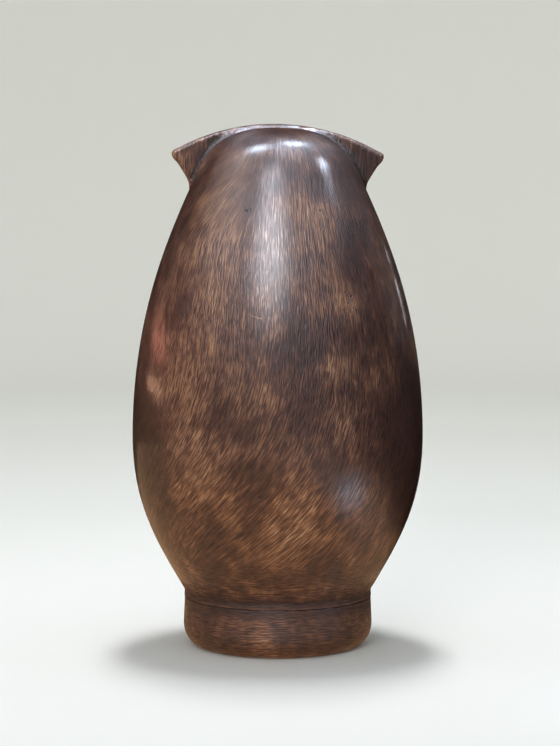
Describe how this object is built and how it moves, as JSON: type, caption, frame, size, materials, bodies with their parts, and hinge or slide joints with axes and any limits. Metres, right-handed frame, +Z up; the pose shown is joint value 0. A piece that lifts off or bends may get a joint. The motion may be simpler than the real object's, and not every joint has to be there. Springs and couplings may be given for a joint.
{
  "type": "carved owl figurine",
  "caption": "Egg-shaped owl carved in dark wood, with pointed ear tufts, inlaid eyes and a round turned foot that stands on felt.",
  "frame": {"origin": "centre of the felt pad's underside, on the surface that the figurine stands on", "axes": "+Z up through the crown; -Y the way the owl faces; +X towards the owl's own left"},
  "size_m": [0.1174, 0.1086, 0.2107],
  "materials": {
    "dark_wood": "stained dark and waxed, fine lighter streaks",
    "boxwood": "pale, fine-grained, polished",
    "ebony": "near black, polished",
    "beech": "bare, hidden inside",
    "steel": "zinc plated",
    "felt": "dark green wool felt"
  },
  "bodies": {
    "root": {"body": "dark_wood", "plinth": "dark_wood", "centre_dowel": "beech", "left_plinth_screw": "steel", "right_plinth_screw": "steel", "felt_pad": "felt", "left_eye_disc": "boxwood", "right_eye_disc": "boxwood", "left_eye_pupil": "ebony", "right_eye_pupil": "ebony"}
  },
  "joints": []
}
